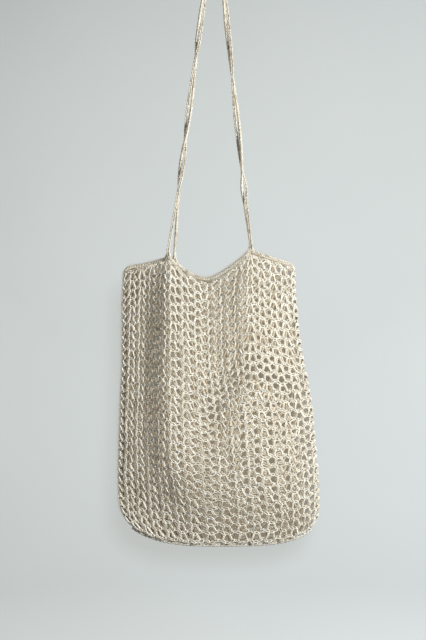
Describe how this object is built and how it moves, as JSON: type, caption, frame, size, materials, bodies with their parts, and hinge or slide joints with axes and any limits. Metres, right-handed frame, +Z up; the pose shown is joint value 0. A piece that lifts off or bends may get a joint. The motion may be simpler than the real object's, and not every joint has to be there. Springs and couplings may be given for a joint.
{
  "type": "crocheted tote bag",
  "caption": "Openwork crocheted cotton tote bag with a scalloped rim, rounded lower corners and long twisted cord straps, hanging empty.",
  "frame": {"origin": "the hang point: the top of the peg that holds the bag, under the bend of both straps", "axes": "+Z up along the hanging bag, +X to the right across its front, +Y from its front to its back"},
  "size_m": [0.2628, 0.0446, 0.7439],
  "materials": {
    "cotton_yarn": "natural undyed plied cotton yarn, matte with a faint sheen, crocheted in V-stitch"
  },
  "bodies": {
    "root": {"bag_body": "cotton_yarn", "rim_edging": "cotton_yarn", "bottom_seam": "cotton_yarn", "strap_front": "cotton_yarn", "strap_back": "cotton_yarn"}
  },
  "joints": []
}
